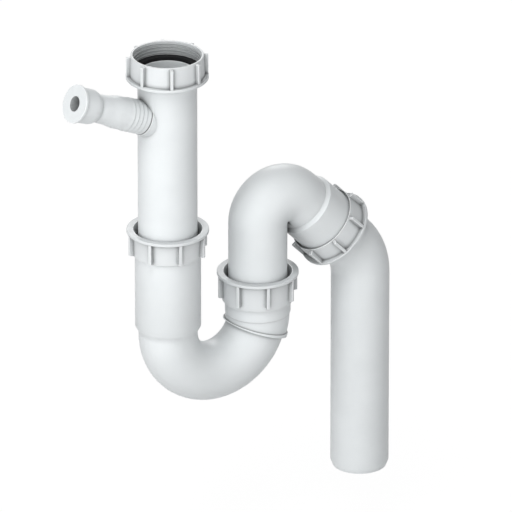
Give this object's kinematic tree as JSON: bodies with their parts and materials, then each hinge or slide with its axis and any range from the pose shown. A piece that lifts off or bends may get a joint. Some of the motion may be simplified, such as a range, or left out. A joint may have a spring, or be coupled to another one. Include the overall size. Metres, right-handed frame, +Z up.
{
  "type": "sink trap",
  "caption": "Swivel tubular sink trap: union nut, inlet pipe with hose nozzle, telescopic U bend, over bend and outlet pipe, clamped by finned compression nuts.",
  "frame": {"origin": "on the inlet's axis, on the top face of the washer that seals against the sink waste", "axes": "+Z up along the inlet pipe, +X from the inlet pipe towards the outlet in the trap's plane"},
  "size_m": [0.2533, 0.0556, 0.3406],
  "materials": {
    "white_plastic": "satin moulded polypropylene",
    "black_rubber": "matt rubber",
    "natural_plastic": "waxy natural polyethylene"
  },
  "bodies": {
    "union_nut": {"inlet_nut": "white_plastic"},
    "inlet": {"inlet_pipe": "white_plastic", "inlet_washer": "black_rubber"},
    "telescopic_grip": {"telescopic_seal": "black_rubber"},
    "trap": {"u_bend": "white_plastic", "swivel_seal": "black_rubber"},
    "over": {"over_bend": "white_plastic", "outlet_seal": "black_rubber"},
    "outlet": {"outlet_pipe": "white_plastic"},
    "telescopic_ring_carrier": {"telescopic_slip_ring": "natural_plastic"},
    "telescopic_nut_shell": {"telescopic_nut": "white_plastic"},
    "swivel_ring_carrier": {"swivel_slip_ring": "natural_plastic"},
    "swivel_nut_shell": {"swivel_nut": "white_plastic"},
    "outlet_ring_carrier": {"outlet_slip_ring": "natural_plastic"},
    "outlet_nut_shell": {"outlet_nut": "white_plastic"}
  },
  "joints": [
    {"name": "inlet_swivel", "type": "hinge", "parent": "union_nut", "child": "inlet", "pos_m": [0, 0, 0], "axis": [0, 0, 1], "continuous": true},
    {"name": "telescope_slide", "type": "slide", "parent": "inlet", "child": "telescopic_grip", "axis": [0, 0, 1], "range_m": [-0.025, 0.027]},
    {"name": "telescope_swivel", "type": "hinge", "parent": "telescopic_grip", "child": "trap", "pos_m": [0, 0, -0.1262], "axis": [0, 0, 1], "continuous": true},
    {"name": "over_swivel", "type": "hinge", "parent": "trap", "child": "over", "pos_m": [0.072, 0, -0.1748], "axis": [0, 0, 1], "range_deg": [-120, 120]},
    {"name": "outlet_swivel", "type": "hinge", "parent": "over", "child": "outlet", "pos_m": [0.12811, 0, -0.14496], "axis": [0.7071, 0, -0.7071], "continuous": true},
    {"name": "telescopic_nut_lift", "type": "slide", "parent": "trap", "child": "telescopic_ring_carrier", "axis": [0, 0, 1], "range_m": [0, 0.0091]},
    {"name": "telescopic_nut_turn", "type": "hinge", "parent": "telescopic_ring_carrier", "child": "telescopic_nut_shell", "pos_m": [0, 0, -0.1262], "axis": [0, 0, 1], "range_deg": [0, 1080]},
    {"name": "swivel_nut_lift", "type": "slide", "parent": "trap", "child": "swivel_ring_carrier", "axis": [0, 0, 1], "range_m": [0, 0.0091]},
    {"name": "swivel_nut_turn", "type": "hinge", "parent": "swivel_ring_carrier", "child": "swivel_nut_shell", "pos_m": [0.072, 0, -0.1748], "axis": [0, 0, 1], "range_deg": [0, 1080]},
    {"name": "outlet_nut_lift", "type": "slide", "parent": "over", "child": "outlet_ring_carrier", "axis": [0.7071, 0, -0.7071], "range_m": [0, 0.0091]},
    {"name": "outlet_nut_turn", "type": "hinge", "parent": "outlet_ring_carrier", "child": "outlet_nut_shell", "pos_m": [0.12811, 0, -0.14496], "axis": [0.7071, 0, -0.7071], "range_deg": [0, 1080]}
  ],
  "couplings": [
    {"joint": "telescopic_nut_lift", "follows": "telescopic_nut_turn", "m_per_rad": 0.00047746},
    {"joint": "swivel_nut_lift", "follows": "swivel_nut_turn", "m_per_rad": 0.00047746},
    {"joint": "outlet_nut_lift", "follows": "outlet_nut_turn", "m_per_rad": 0.00047746}
  ]
}
